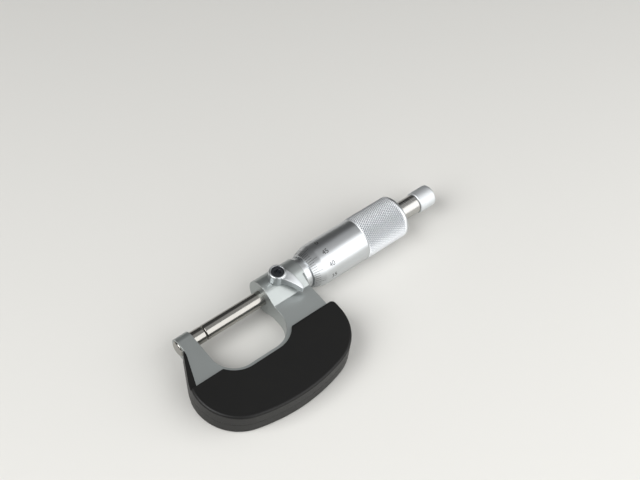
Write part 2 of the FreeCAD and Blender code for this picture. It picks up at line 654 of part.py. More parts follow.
def make_sleeve(document):
    """Makes the graduated sleeve with its front collar and spanner hole."""
    steps = [
        (BOSS_END, f"{BOSS_END} + Sizes.collar_length", "Sizes.collar_radius"),
        (BOSS_END, SLEEVE_END, "Sizes.sleeve_radius"),
    ]
    bores = [(BOSS_END, SLEEVE_END, "Sizes.hub_radius + Sizes.sleeve_play")]
    tube = turned(document, "sleeve_tube", steps, bores)
    hole = post(document, "sleeve_spanner_hole", f"{BOSS_END} + Sizes.spanner_hole_place", "0",
                "-Sizes.collar_radius", "-Sizes.hub_radius", "Sizes.spanner_hole")
    return cut(document, "sleeve_drilled", tube, [hole])


def make_thimble(document, size):
    """Makes the thimble: bevelled edge, plain barrel, raised grip, rear wall and taper bore."""
    bevel_end = f"{THIMBLE_FRONT} + Sizes.thimble_bevel"
    steps = [
        (THIMBLE_FRONT, bevel_end, "Sizes.thimble_edge_radius", "Sizes.thimble_radius"),
        (bevel_end, KNURL_START, "Sizes.thimble_radius"),
        (KNURL_START, THIMBLE_END, "Sizes.knurl_radius"),
    ]
    blank = turned(document, "thimble_blank", steps)
    document.recompute()
    rounded = document.addObject("Part::Fillet", "thimble_rounded")
    rounded.Base = blank
    radius = size["thimble_round"]
    rounded.Edges = [(rear_rim(blank.Shape), radius, radius)]
    bores = [
        (THIMBLE_FRONT, THIMBLE_WALL, "Sizes.sleeve_radius + Sizes.thimble_play"),
        (THIMBLE_WALL, SEAT_START, "Sizes.seat_large + Sizes.seat_play"),
        (SEAT_START, SEAT_END, "Sizes.seat_large + Sizes.seat_play",
         "Sizes.seat_small + Sizes.seat_play"),
        (SEAT_END, FLANGE_START, "Sizes.seat_small + Sizes.seat_play"),
        (FLANGE_START, THIMBLE_END, "Sizes.flange_radius + Sizes.flange_play"),
    ]
    tools = [bar(document, f"thimble_bore_{index}", *bore) for index, bore in enumerate(bores)]
    return cut(document, "thimble_bored", rounded, tools)


def rear_rim(shape):
    """Returns the number of the circular edge that lies furthest along +X."""
    rims = [(edge.Curve.Center.x, index) for index, edge in enumerate(shape.Edges, start=1)
            if isinstance(edge.Curve, Part.Circle)]
    return max(rims)[1]


def make_ratchet_body(document):
    """Makes the ratchet body: stud, flange, neck and the stem with its two flats."""
    steps = [
        (f"{SEAT_END} - Sizes.stud_length", FLANGE_START, "Sizes.stud_radius"),
        (FLANGE_START, THIMBLE_END, "Sizes.flange_radius"),
        (THIMBLE_END, NECK_END, "Sizes.neck_radius"),
        (NECK_END, STEM_END, "Sizes.stem_radius"),
    ]
    bores = [(f"{STEM_END} - Sizes.end_screw_length", STEM_END, "Sizes.end_screw_radius")]
    plain = turned(document, "ratchet_body", steps, bores)
    flats = []
    for side in (1, -1):
        flat = document.addObject("Part::Box", f"stem_flat_{side + 1}")
        bind(flat, Length=f"{WEB_START} - Sizes.ratchet_play - {NECK_END}",
             Width="2 * Sizes.stem_radius", Height="Sizes.stem_radius - Sizes.stem_flat")
        low = "Sizes.stem_flat" if side > 0 else "-Sizes.stem_radius"
        flats.append(place(flat, NECK_END, "-Sizes.stem_radius", low))
    return cut(document, "ratchet_body_flatted", plain, flats)


def tooth_wedges(size, lag):
    """Returns the saw teeth that stand from the plane x = 0 towards -X, as lofted wedges.

    Each wedge is a ramp one pitch long; it narrows towards the axis, so that it is radial.
    """
    count = round(size["tooth_count"])
    pitch = 2 * math.pi / count
    depth = size["tooth_depth"]
    inner = size["stem_flat"] / 2
    outer = size["knob_radius"]
    wedges = []
    for index in range(count):
        start = index * pitch - math.radians(lag)
        sections = []
        for radius in (inner, outer):
            points = []
            for turn, place_x in ((0.0, -depth), (0.0, depth), (pitch, depth), (pitch, 0.0)):
                angle = start + turn
                points.append(Vector(place_x, radius * math.cos(angle), radius * math.sin(angle)))
            sections.append(Part.makePolygon(points + points[:1]))
        wedges.append(Part.makeLoft(sections, True, True))
    return wedges


def rod(start, end, radius):
    """Returns a plain cylinder along +X."""
    return Part.makeCylinder(radius, end - start, Vector(start, 0, 0), Vector(1, 0, 0))


def make_ratchet_pawl(document, size):
    """Makes the toothed pawl, which the spring presses on the knob's teeth.

    Its bore has two flats, so that it turns with the stem and slides along it.
    """
    pawl = document.addObject("Part::Feature", "ratchet_pawl")
    thickness = size["pawl_thickness"]
    bore = size["stem_radius"] + size["ratchet_play"]
    flat = size["stem_flat"] + size["ratchet_play"]
    solid = rod(-thickness, 0, size["pawl_radius"])
    double_flat = rod(-thickness, 0, bore).common(
        Part.makeBox(thickness, 2 * bore, 2 * flat, Vector(-thickness, -bore, -flat)))
    solid = solid.cut(double_flat)
    for wedge in tooth_wedges(size, size["tooth_lag_angle"]):
        solid = solid.cut(wedge)
    pawl.Shape = solid.removeSplitter()
    return place(pawl, x=f"{WEB_START} - Sizes.tooth_play")


def make_ratchet_knob(document, size):
    """Makes the ratchet knob: a cup with saw teeth on its web and a recess for the screw."""
    knob = document.addObject("Part::Feature", "ratchet_knob")
    end = size["knob_web"] + size["knob_recess_depth"]
    start = end - size["knob_length"]
    blank = rod(start, end, size["knob_radius"])
    rim = blank.Edges[rear_rim(blank) - 1]
    solid = blank.makeFillet(size["knob_round"], [rim]).cut(rod(start, 0, size["knob_bore"]))
    room = rod(start, size["knob_web"], size["knob_bore"])
    for wedge in tooth_wedges(size, 0.0):
        solid = solid.fuse(wedge.common(room))
    solid = solid.cut(rod(start, end, size["stem_radius"] + size["ratchet_play"]))
    solid = solid.cut(rod(size["knob_web"], end, size["knob_recess"]))
    knob.Shape = solid.removeSplitter()
    return place(knob, x=WEB_START)


def make_ratchet_spring(document, size):
    """Makes the coil spring between the neck and the pawl, of square wire."""
    spring = document.addObject("Part::Feature", "ratchet_spring")
    wire = size["spring_wire"] / 2
    room = (size["knob_gap"] + size["knob_length"] - size["knob_recess_depth"] - size["knob_web"]
            - size["tooth_play"] - size["pawl_thickness"])
    length = room - 2 * wire
    helix = Part.makeHelix(length / round(size["spring_turn_count"]), length, size["spring_radius"])
    corners = [Vector(size["spring_radius"] + across * wire, 0, along * wire)
               for across, along in ((-1, -1), (1, -1), (1, 1), (-1, 1), (-1, -1))]
    spring.Shape = Part.Wire(helix).makePipeShell([Part.makePolygon(corners)], True, True)
    return place(spring, x=f"{NECK_END} + Sizes.spring_wire / 2", turn=ALONG_X)


def make_ratchet_screw(document):
    """Makes the slotted end screw that keeps the knob on its stem."""
    head_end = f"{STEM_END} + Sizes.end_screw_thickness"
    solid = turned(document, "ratchet_screw", [
        (f"{STEM_END} - Sizes.end_screw_length", STEM_END, "Sizes.end_screw_radius"),
        (STEM_END, head_end, "Sizes.end_screw_head"),
    ])
    slot = document.addObject("Part::Box", "ratchet_screw_slot")
    bind(slot, Length="Sizes.end_screw_slot", Width="2 * Sizes.end_screw_head",
         Height="Sizes.end_screw_slot")
    place(slot, f"{head_end} - Sizes.end_screw_slot", "-Sizes.end_screw_head",
          "-Sizes.end_screw_slot / 2")
    return cut(document, "ratchet_screw_slotted", solid, [slot])


def make_lock_plug(document):
    """Makes the brass plug that bears on the spindle, hollowed to its curve."""
    solid = post(document, "lock_plug_blank", LOCK_PLACE, "0", "0", PLUG_TOP,
                 "Sizes.lock_hole - Sizes.lock_play")
    hollow = bar(document, "lock_plug_hollow", f"{LOCK_PLACE} - Sizes.lock_hole",
                 f"{LOCK_PLACE} + Sizes.lock_hole", "Sizes.anvil_radius + Sizes.spindle_play")
    return cut(document, "lock_plug_fitted", solid, [hollow])


def make_lock_stem(document):
    """Makes the stem that the lever turns to press the plug."""
    solid = post(document, "lock_stem_blank", LOCK_PLACE, "0", STEM_BOTTOM, STEM_TOP,
                 "Sizes.lock_hole - Sizes.lock_play")
    tapped = post(document, "lock_stem_tapped", LOCK_PLACE, "0",
                  f"{STEM_TOP} - Sizes.lock_screw_length - Sizes.lock_plug_gap", STEM_TOP,
                  "Sizes.lock_screw_radius")
    return cut(document, "lock_stem_bored", solid, [tapped])


def lever_plan(size):
    """Returns the lever's plan: two bowed flanks from the lock's axis to a rounded tip."""
    length = size["lever_length"]
    bow = size["lever_bow"]
    root = size["lever_root_width"] / 2
    tip = size["lever_tip_width"] / 2
    round_start = length - size["lever_tip_round"]
    far_flank = Part.Arc(Vector(0, root, 0), Vector(length / 2, (root + tip) / 2 + bow, 0),
                         Vector(round_start, tip, 0)).toShape()
    nose = Part.Arc(Vector(round_start, tip, 0), Vector(length, 0, 0),
                    Vector(round_start, -tip, 0)).toShape()
    near_flank = Part.LineSegment(Vector(round_start, -tip, 0), Vector(0, -root, 0)).toShape()
    back = Part.LineSegment(Vector(0, -root, 0), Vector(0, root, 0)).toShape()
    return Part.Face(Part.Wire([far_flank, nose, near_flank, back]))


def lever_side(size):
    """Returns the lever's side view, arched over the boss, in the plane across its width."""
    length = size["lever_length"]
    crown = Vector(0, 0, size["lever_crown"])
    root_top = Vector(0, 0, size["lever_root_top"])
    tip_bottom = Vector(length, 0, -size["lever_tip_rise"])
    tip_top = tip_bottom + Vector(0, 0, size["lever_tip_height"])
    root_bottom = Vector(0, 0, size["lever_root_bottom"])
    top = Part.Arc(root_top, (root_top + tip_top) * 0.5 + crown, tip_top).toShape()
    front = Part.LineSegment(tip_top, tip_bottom).toShape()
    under = Part.Arc(tip_bottom, (root_bottom + tip_bottom) * 0.5 + crown, root_bottom).toShape()
    back = Part.LineSegment(root_bottom, root_top).toShape()
    return Part.Face(Part.Wire([top, front, under, back]))


def lever_blade(size):
    """Returns the lever's blade: what its plan and its side view have in common, each extruded."""
    width = size["lever_root_width"] + size["lever_bow"]
    side = lever_side(size)
    side.translate(Vector(0, -width, 0))
    plan = lever_plan(size)
    plan.translate(Vector(0, 0, -size["lock_hub_height"]))
    blade = side.extrude(Vector(0, 2 * width, 0))
    blade = blade.common(plan.extrude(Vector(0, 0, 2 * size["lock_hub_height"])))
    blade.rotate(Vector(0, 0, 0), Vector(0, 0, 1), size["lever_angle"])
    return blade


def make_lock_lever(document, size):
    """Makes the lock's hub and lever in one piece, with the pocket for the cap screw."""
    lever = document.addObject("Part::Feature", "lock_lever")
    height = size["lock_hub_height"]
    floor = height - size["lock_pocket_depth"]
    blank = Part.makeCylinder(size["lock_hub_radius"], height)
    top = [edge for edge in blank.Edges if edge.BoundBox.ZMin > height / 2]
    solid = blank.makeFillet(size["lock_hub_round"], top).fuse(lever_blade(size))
    bore = Part.makeCylinder(size["lock_hole"] - size["lock_play"], floor)
    pocket = Part.makeCylinder(size["lock_pocket_radius"], size["lock_pocket_depth"],
                               Vector(0, 0, floor))
    lever.Shape = solid.cut(bore).cut(pocket).removeSplitter()
    return place(lever, x=LOCK_PLACE, z=LOCK_FOOT)


def make_lock_screw(document, size):
    """Makes the socket-head cap screw in the middle of the lock."""
    screw = document.addObject("Part::Feature", "lock_screw")
    thickness = size["lock_pocket_depth"] - size["lock_screw_sunk"]
    head = Part.makeCylinder(size["lock_screw_head"], thickness)
    shank = Part.makeCylinder(size["lock_screw_radius"], size["lock_screw_length"],
                              Vector(0, 0, -size["lock_screw_length"]))
    sides = 6
    corner = size["lock_socket"] / math.cos(math.pi / sides)
    floor = thickness - size["lock_socket_depth"]
    points = [Vector(*polar((0, 0), corner, 2 * math.pi / sides * step), floor)
              for step in range(sides + 1)]
    socket = Part.Face(Part.makePolygon(points)).extrude(Vector(0, 0, size["lock_socket_depth"]))
    screw.Shape = head.fuse(shank).cut(socket).removeSplitter()
    return place(screw, x=LOCK_PLACE, z=STEM_TOP)


def check(document, nodes):
    """Stops with a message if any object failed or a piece isn't a valid solid."""
    for item in document.Objects:
        if "Invalid" in item.State or "Error" in item.State:
            raise RuntimeError(f"{item.Name} failed: {item.State}")
    for name, item in nodes.items():
        shape = item.Shape
        if shape.isNull() or not shape.isValid() or not shape.Solids:
            raise RuntimeError(f"{name} has no valid solid")
        print(f"{name}: {len(shape.Solids)} solid(s), {shape.Volume:.2f} mm3")


def main():
    """Builds every piece and writes one STEP file for each."""
    document = FreeCAD.newDocument("micrometer")
    sheet = make_sheet(document)
    size = {alias: float(sheet.get(alias)) for alias, _, _ in SIZES}
    nodes = {
        "frame": make_frame(document, size),
        "front_cover": make_cover(document, size, "front_cover", 1),
        "rear_cover": make_cover(document, size, "rear_cover", -1),
        "cover_screw_left": make_cover_screw(document, "left"),
        "cover_screw_right": make_cover_screw(document, "right"),
        "anvil": make_anvil(document),
        "hub_sleeve": make_hub_sleeve(document),
        "adjusting_nut": make_adjusting_nut(document),
        "sleeve": make_sleeve(document),
        "spindle": make_spindle(document),
        "thimble": make_thimble(document, size),
        "ratchet_body": make_ratchet_body(document),
        "ratchet_spring": make_ratchet_spring(document, size),
        "ratchet_pawl": make_ratchet_pawl(document, size),
        "ratchet_knob": make_ratchet_knob(document, size),
        "ratchet_screw": make_ratchet_screw(document),
        "lock_plug": make_lock_plug(document),
        "lock_stem": make_lock_stem(document),
        "lock_lever": make_lock_lever(document, size),
        "lock_screw": make_lock_screw(document, size),
    }
    document.recompute()
    for name, item in nodes.items():
        item.Label = name
    check(document, nodes)
    os.makedirs("parts", exist_ok=True)
    for name, item in nodes.items():
        item.Shape.exportStep(f"parts/{name}.step")


main()
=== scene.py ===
"""Looks of an outside micrometer: finishes, knurling, graduations, light, floor and camera."""

from __future__ import annotations

import json
import logging
import math

from dataclasses import dataclass, field
from enum import Enum

import bmesh
import bpy
from mathutils import Matrix, Vector


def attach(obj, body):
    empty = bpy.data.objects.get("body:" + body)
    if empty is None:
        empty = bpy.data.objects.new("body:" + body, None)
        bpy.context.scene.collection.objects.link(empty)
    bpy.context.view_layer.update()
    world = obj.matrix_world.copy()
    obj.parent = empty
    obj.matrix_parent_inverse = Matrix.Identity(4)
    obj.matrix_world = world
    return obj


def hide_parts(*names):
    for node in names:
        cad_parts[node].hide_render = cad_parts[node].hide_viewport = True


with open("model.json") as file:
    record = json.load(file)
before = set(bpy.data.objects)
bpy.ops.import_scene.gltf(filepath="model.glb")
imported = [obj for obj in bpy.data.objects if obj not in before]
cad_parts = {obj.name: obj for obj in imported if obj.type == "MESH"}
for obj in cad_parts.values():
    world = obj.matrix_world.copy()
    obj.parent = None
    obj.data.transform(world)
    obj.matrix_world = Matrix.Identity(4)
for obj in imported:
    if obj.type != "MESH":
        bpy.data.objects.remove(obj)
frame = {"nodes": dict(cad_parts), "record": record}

MM = 0.001
LOG = logging.getLogger("micrometer")
# Vertex marks on the knurl: the grip mark carries its painted sheen and its rougher finish, the groove
# mark its painted shade down the grooves.
GRIP_MARK = "grip"
GROOVE_SHADE_MARK = "groove"
MIX_FACTOR, MIX_FIRST, MIX_SECOND, MIX_RESULT = 0, 6, 7, 2


class Reading(Enum):
    """How the figures of a scale are spaced round or along their line."""

    ROUND_THE_THIMBLE = 5
    ALONG_THE_SLEEVE = 10


def linear(code: str) -> tuple[float, float, float, float]:
    """Turns an sRGB hex code into a linear colour.

    Args:
        code: six hex digits.

    Returns:
        The colour with alpha 1.
    """
    channels = [int(code[at:at + 2], 16) / 255 for at in (0, 2, 4)]
    low, slope, shift, power = 0.04045, 12.92, 0.055, 2.4
    values = [c / slope if c <= low else ((c + shift) / (1 + shift)) ** power for c in channels]
    return (*values, 1.0)


def add_node(tree: bpy.types.NodeTree, kind: str, links: dict | None = None, values: dict | None = None,
             **settings: object) -> bpy.types.Node:
    """Adds a node with its settings, socket values and incoming links.

    Args:
        tree: the node tree.
        kind: the node's type name.
        links: input socket to the output socket that feeds it.
        values: input socket to its fixed value.
        settings: properties of the node itself.

    Returns:
        The new node.
    """
    node = tree.nodes.new(kind)
    for name, value in settings.items():
        setattr(node, name, value)
    for socket, value in (values or {}).items():
        node.inputs[socket].default_value = value
    for socket, source in (links or {}).items():
        tree.links.new(source, node.inputs[socket])
    return node


@dataclass(frozen=True)
class Finish:
    """A finish with a fine pattern in its roughness, its tone and its relief.

    The pattern is noise on the piece's own millimetres, in rings round the spindle's axis on a
    surface that was turned or ground, and the same in all directions on any other.
    """

    name: str
    tone: str
    worn_tone: str
    metallic: float
    roughness: float
    grain: float
    relief: float = 0.002
    roughness_spread: float = 0.08
    specular: float = 0.5
    turned: bool = False

    def build(self) -> bpy.types.Material:
        """Makes the material, with its pattern scaled by the real grain in millimetres.

        Returns:
            The new material.
        """
        material = bpy.data.materials.new(self.name)
        material.use_nodes = True
        tree = material.node_tree
        shader = tree.nodes["Principled BSDF"]
        place = add_node(tree, "ShaderNodeTexCoord").outputs["Object"]
        marks = self.rings(tree, place) if self.turned else place
        grain = add_node(tree, "ShaderNodeTexNoise", {"Vector": marks},
                         {"Scale": 1 / (self.grain * MM), "Detail": GRAIN_DETAIL,
                          "Roughness": GRAIN_SHARPNESS})
        patch = add_node(tree, "ShaderNodeTexNoise", {"Vector": place},
                         {"Scale": 1 / (PATCH * MM), "Detail": PATCH_DETAIL})
        rough = add_node(tree, "ShaderNodeMapRange", {"Value": grain.outputs["Fac"]},
                         {"From Min": NOISE_LOW, "From Max": NOISE_HIGH,
                          "To Min": max(LEAST_ROUGHNESS, self.roughness - self.roughness_spread),
                          "To Max": self.roughness + self.roughness_spread})
        tone = self.mix_tones(tree, patch.outputs["Fac"], linear(self.tone), linear(self.worn_tone))
        bump = add_node(tree, "ShaderNodeBump", {"Height": grain.outputs["Fac"]},
                        {"Strength": BUMP_STRENGTH, "Distance": self.relief * MM})
        tree.links.new(self.final_tone(tree, tone), shader.inputs["Base Color"])
        tree.links.new(self.final_roughness(tree, rough.outputs["Result"]), shader.inputs["Roughness"])
        tree.links.new(bump.outputs["Normal"], shader.inputs["Normal"])
        shader.inputs["Metallic"].default_value = self.metallic
        shader.inputs["Specular IOR Level"].default_value = self.specular
        return material

    @staticmethod
    def mix_tones(tree: bpy.types.NodeTree, factor: bpy.types.NodeSocket,
                  first: object, second: object) -> bpy.types.NodeSocket:
        """Mixes two tones.

        Args:
            tree: the material's node tree.
            factor: the socket that gives the second tone's share.
            first: the first tone, a linear colour or a socket.
            second: the second tone, in the same way.

        Returns:
            The result's socket.
        """
        mix = add_node(tree, "ShaderNodeMix", data_type="RGBA")
        tree.links.new(factor, mix.inputs[MIX_FACTOR])
        for place, tone in ((MIX_FIRST, first), (MIX_SECOND, second)):
            if isinstance(tone, bpy.types.NodeSocket):
                tree.links.new(tone, mix.inputs[place])
            else:
                mix.inputs[place].default_value = tone
        return mix.outputs[MIX_RESULT]

    def final_tone(self, tree: bpy.types.NodeTree, tone: bpy.types.NodeSocket) -> bpy.types.NodeSocket:
        """Returns the tone that the shader takes."""
        return tone

    def final_roughness(self, tree: bpy.types.NodeTree,
                        roughness: bpy.types.NodeSocket) -> bpy.types.NodeSocket:
        """Returns the roughness that the shader takes."""
        return roughness

    def rings(self, tree: bpy.types.NodeTree, place: bpy.types.NodeSocket) -> bpy.types.NodeSocket:
        """Makes coordinates that are the same all round the spindle's axis, for lathe marks.

        Args:
            tree: the material's node tree.
            place: the socket of the piece's own coordinates.

        Returns:
            The socket of the place along the axis and the distance from it.
        """
        parts = add_node(tree, "ShaderNodeSeparateXYZ", {"Vector": place})
        across = add_node(tree, "ShaderNodeCombineXYZ",
                          {"X": parts.outputs["Y"], "Y": parts.outputs["Z"]})
        radius = add_node(tree, "ShaderNodeVectorMath", {0: across.outputs["Vector"]}, operation="LENGTH")
        ring = add_node(tree, "ShaderNodeCombineXYZ",
                        {"X": parts.outputs["X"], "Y": radius.outputs["Value"]})
        return ring.outputs["Vector"]


@dataclass(frozen=True)
class KnurledFinish(Finish):
    """A finish whose knurl is rougher than the rest, paler on its pads by a painted sheen, and darker
    down in its grooves by painted shade.
    """

    # Painted sheen on the knurl's pads and painted shade down its grooves, both put into the tone.
    painted_sheen_tone: str = "F4F6F8"
    painted_groove_shade_tone: str = "AAAEB2"
    grip_roughness: float = 0.48

    def final_tone(self, tree: bpy.types.NodeTree, tone: bpy.types.NodeSocket) -> bpy.types.NodeSocket:
        """Mixes the tone by the piece's own marks: a painted sheen on its grip and painted shade down its
        grooves.

        Args:
            tree: the material's node tree.
            tone: the socket of the tone off the grip.

        Returns:
            The mixed tone's socket.
        """
        grip = add_node(tree, "ShaderNodeAttribute", attribute_name=GRIP_MARK)
        groove = add_node(tree, "ShaderNodeAttribute", attribute_name=GROOVE_SHADE_MARK)
        pads = self.mix_tones(tree, grip.outputs["Fac"], tone, linear(self.painted_sheen_tone))
        return self.mix_tones(tree, groove.outputs["Fac"], pads, linear(self.painted_groove_shade_tone))

    def final_roughness(self, tree: bpy.types.NodeTree,
                        roughness: bpy.types.NodeSocket) -> bpy.types.NodeSocket:
        """Raises the roughness on the grip.

        Args:
            tree: the material's node tree.
            roughness: the socket of the roughness off the grip.

        Returns:
            The mixed roughness's socket.
        """
        grip = add_node(tree, "ShaderNodeAttribute", attribute_name=GRIP_MARK)
        mix = add_node(tree, "ShaderNodeMapRange", {"Value": grip.outputs["Fac"], "To Min": roughness},
                       {"To Max": self.grip_roughness})
        return mix.outputs["Result"]


# PATCH is the span of the slow change of tone, and MERGE joins corners that lie in one place. Both
# are in millimetres. Grain below about 0.1 mm can't show at the render's scale, so none is finer.
PATCH = 9.0
MERGE = 0.0005
# In degrees: faces that turn less than ONE_FACE are one face of the real piece, and a valley that
# turns less than CREASE is eased as a ridge is, like the blends of the forging.
ONE_FACE = 0.6
CREASE = 45.0
# The noise's usual reach, and how deep and how sharp its detail is.
NOISE_LOW, NOISE_HIGH = 0.3, 0.7
GRAIN_DETAIL, GRAIN_SHARPNESS, PATCH_DETAIL = 3.0, 0.6, 4.0
BUMP_STRENGTH = 0.5
# At this weight a face counts by its area alone.
LEVEL_WEIGHT = 50
LEAST_ROUGHNESS = 0.02

# Enamel with aluminium flake, baked over the forging. The flakes lie flat in it, so it gives a wide
# soft glint on the boss and an even cool grey on the flats, with no brush marks.
FRAME_PAINT = Finish("silver_grey_flake_enamel", "AEB3B2", "A6ABAA",
                     metallic=0.8, roughness=0.36, grain=0.2, relief=0.0008, roughness_spread=0.03)
# Phenolic moulding against the hand's warmth. It is dull and nearly black, with the faint grain of
# its steel mould, and only its rounded rim catches a thin line of light.
COVER_PLASTIC = Finish("black_moulded_phenolic", "0F0F0F", "141413",
                       metallic=0.0, roughness=0.42, grain=0.35, relief=0.004, specular=0.3)
# Hardened tool steel, ground and lapped round the axis. It mirrors the room in narrow bright and
# dark strips, a little warmer than the chrome beside it.
GROUND_STEEL = Finish("ground_tool_steel", "ADABA6", "A19F9A",
                      metallic=1.0, roughness=0.18, grain=0.1, relief=0.0002, roughness_spread=0.04,
                      turned=True)
# Steel left from the lathe. Its rings, about 0.15 mm apart, spread a highlight along the axis.
TURNED_STEEL = Finish("fine_turned_steel", "C0BFBC", "B4B3B0",
                      metallic=1.0, roughness=0.24, grain=0.15, relief=0.0004, roughness_spread=0.05,
                      turned=True)
# Chrome over fine blasting, so that the graduations read without glare: bright and cool, with the
# edges of each reflection blurred.
SATIN_CHROME = Finish("satin_chromed_steel", "D2D5D7", "CACDCF",
                      metallic=1.0, roughness=0.34, grain=0.1, relief=0.0003, roughness_spread=0.03)
# The same chrome on the thimble. The rolled knurl's pads are made pale by a painted sheen, and its
# grooves dull by painted shade.
THIMBLE_CHROME = KnurledFinish("satin_chromed_steel_with_knurl", "D2D5D7", "CACDCF",
                               metallic=1.0, roughness=0.34, grain=0.1, relief=0.0003,
                               roughness_spread=0.03)
# Chrome over coarser blasting on the ratchet knob: almost white, and matt enough to hide its fine
# knurl from a step away.
KNOB_CHROME = Finish("fine_blasted_chrome", "E2E5E7", "DCDFE1",
                     metallic=1.0, roughness=0.56, grain=0.1, relief=0.0003, roughness_spread=0.03)
# Plain bright steel of small bought screws and nuts, a little grey from its oil.
SCREW_STEEL = Finish("plain_screw_steel", "8C8A86", "7A7874",
                     metallic=1.0, roughness=0.34, grain=0.2)
# Wire tempered after coiling, which leaves it blue-grey.
SPRING_STEEL = Finish("tempered_spring_steel", "6B6A6E", "57565B",
                      metallic=1.0, roughness=0.3, grain=0.2)
# Soft yellow brass, turned, so that the plug grips the spindle without marking it.
PLUG_BRASS = Finish("turned_brass", "C2A15A", "A88845",
                    metallic=1.0, roughness=0.3, grain=0.2)
# Black wax wiped into the engraving: matt, and level with the metal round it.
SCALE_INK = Finish("black_filled_engraving", "141414", "1E1E1E",
                   metallic=0.0, roughness=0.5, grain=0.2)
# Oil-blacked high-tensile screw: a dark skin that still glints grey along its socket's edges.
BLACK_OXIDE = Finish("black_oxide_on_steel", "3C3E42", "46484C",
                     metallic=0.9, roughness=0.24, grain=0.2)

SLOT_FINISHES = {
    "frame_paint": FRAME_PAINT,
    "cover_plastic": COVER_PLASTIC,
    "screw_steel": SCREW_STEEL,
    "ground_steel": GROUND_STEEL,
    "turned_steel": TURNED_STEEL,
    "satin_chrome": SATIN_CHROME,
    "spring_steel": SPRING_STEEL,
    "plug_brass": PLUG_BRASS,
    "black_oxide": BLACK_OXIDE,
}


@dataclass
class Wardrobe:
    """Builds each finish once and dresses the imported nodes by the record's slots."""

    made: dict[str, bpy.types.Material] = field(default_factory=dict)

    def get(self, finish: Finish) -> bpy.types.Material:
        """Gives the material of a finish, made at its first use.

        Args:
            finish: the finish.

        Returns:
            Its one material.
        """
        if finish.name not in self.made:
            self.made[finish.name] = finish.build()
        return self.made[finish.name]

    def dress_nodes(self) -> None:
        """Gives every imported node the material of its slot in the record."""
        for entry in frame["record"]["subparts"]:
            node = frame["nodes"][entry["node"]]
            node.data.materials.clear()
            node.data.materials.append(self.get(SLOT_FINISHES[entry["material_slot"]]))


def finish_piece(shape: bmesh.types.BMesh, name: str, finish: Finish, wardrobe: Wardrobe, body: str) -> bpy.types.Object:
    """Turns a bmesh into a dressed piece that rides on a body.

    Args:
        shape: the piece's bmesh in metres, which is freed.
        name: the piece's name.
        finish: its finish.
        wardrobe: where the material comes from.
        body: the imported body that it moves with.

    Returns:
        The new object.
    """
    bmesh.ops.remove_doubles(shape, verts=shape.verts, dist=MERGE * MM)
    bmesh.ops.recalc_face_normals(shape, faces=shape.faces)
    mesh = bpy.data.meshes.new(name)
    shape.to_mesh(mesh)
    shape.free()
    mesh.materials.append(wardrobe.get(finish))
    piece = bpy.data.objects.new(name, mesh)
    bpy.context.scene.collection.objects.link(piece)
    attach(piece, body)
    LOG.info("%s: %d faces on body %s", name, len(mesh.polygons), body)
    return piece


def shade_smooth(piece: bpy.types.Object, sharp_degrees: float) -> None:
    """Smooths the shading of a piece, except over edges sharper than an angle.

    Args:
        piece: the piece.
        sharp_degrees: the angle past which an edge stays crisp.
    """
    for polygon in piece.data.polygons:
        polygon.use_smooth = True
    piece.data.set_sharp_from_angle(angle=math.radians(sharp_degrees))


def keep_flats_flat(piece: bpy.types.Object) -> None:
    """Weights the shading by area, so that flats stay flat up to their small rounds.

    Args:
        piece: the piece, already smooth.
    """
    weights = piece.modifiers.new("flat_faces", "WEIGHTED_NORMAL")
    weights.mode = "FACE_AREA"
    weights.weight = LEVEL_WEIGHT
    weights.keep_sharp = True


def spin_profile(points: list[tuple[float, float]], steps: int) -> bmesh.types.BMesh:
    """Spins a closed profile round the spindle's axis.

    Args:
        points: the profile's corners as (place along the axis, radius), in millimetres.
        steps: the number of steps in the full turn.

    Returns:
        The spun shell, in metres.
    """
    shape = bmesh.new()
    corners = [shape.verts.new((along * MM, 0.0, radius * MM)) for along, radius in points]
    edges = [shape.edges.new((corners[at - 1], corners[at])) for at in range(len(corners))]
    bmesh.ops.spin(shape, geom=corners + edges, cent=(0, 0, 0), axis=(1, 0, 0), angle=math.tau,
                   steps=steps, use_merge=True)
    return shape


def rounded_end(end: float, radius: float, ease: float, steps: int) -> list[tuple[float, float]]:
    """Draws the quarter round between a barrel and its flat end.

    Args:
        end: the flat end's place along the axis, in millimetres.
        radius: the barrel's radius.
        ease: the round's own radius.
        steps: the number of steps in the round.

    Returns:
        The round's corners as (place along the axis, radius).
    """
    angles = [math.pi / 2 * index / steps for index in range(steps + 1)]
    return [(end - ease + ease * math.sin(angle), radius - ease + ease * math.cos(angle))
            for angle in angles]


@dataclass(frozen=True)
class EasedNode:
    """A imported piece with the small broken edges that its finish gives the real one."""

    node: str
    body: str
    slot: str
    finish: Finish
    ease: float
    sharp_degrees: float = 18.0
    smooth_degrees: float = 50.0
    segments: int = 3

    def build(self, wardrobe: Wardrobe) -> None:
        """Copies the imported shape, breaks its sharp edges and shows the copy in its place.

        Args:
            wardrobe: where the material comes from.
        """
        shape = bmesh.new()
        shape.from_mesh(frame["nodes"][self.node].data)
        bmesh.ops.remove_doubles(shape, verts=shape.verts, dist=MERGE * MM)
        bmesh.ops.dissolve_limit(shape, angle_limit=math.radians(ONE_FACE), verts=shape.verts,
                                 edges=shape.edges)
        bmesh.ops.recalc_face_normals(shape, faces=shape.faces)
        sharp = [edge for edge in shape.edges if self.is_eased(edge)]
        bmesh.ops.bevel(shape, geom=sharp, offset=self.ease * MM, offset_type="OFFSET",
                        segments=self.segments, profile=0.5, affect="EDGES", clamp_overlap=False,
                        material=-1)
        piece = finish_piece(shape, self.node + "_eased", self.finish, wardrobe, self.body)
        shade_smooth(piece, self.smooth_degrees)
        keep_flats_flat(piece)
        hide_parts(self.node)

    def is_eased(self, edge: bmesh.types.BMEdge) -> bool:
        """Tells whether an edge is a sharp ridge, or a valley that is sharp but shallow.

        Args:
            edge: an edge of the copied shape.

        Returns:
            True where it is broken.
        """
        if len(edge.link_faces) != 2:
            return False
        turn = edge.calc_face_angle()
        shallow = turn < math.radians(CREASE)
        return turn > math.radians(self.sharp_degrees) and (edge.is_convex or shallow)


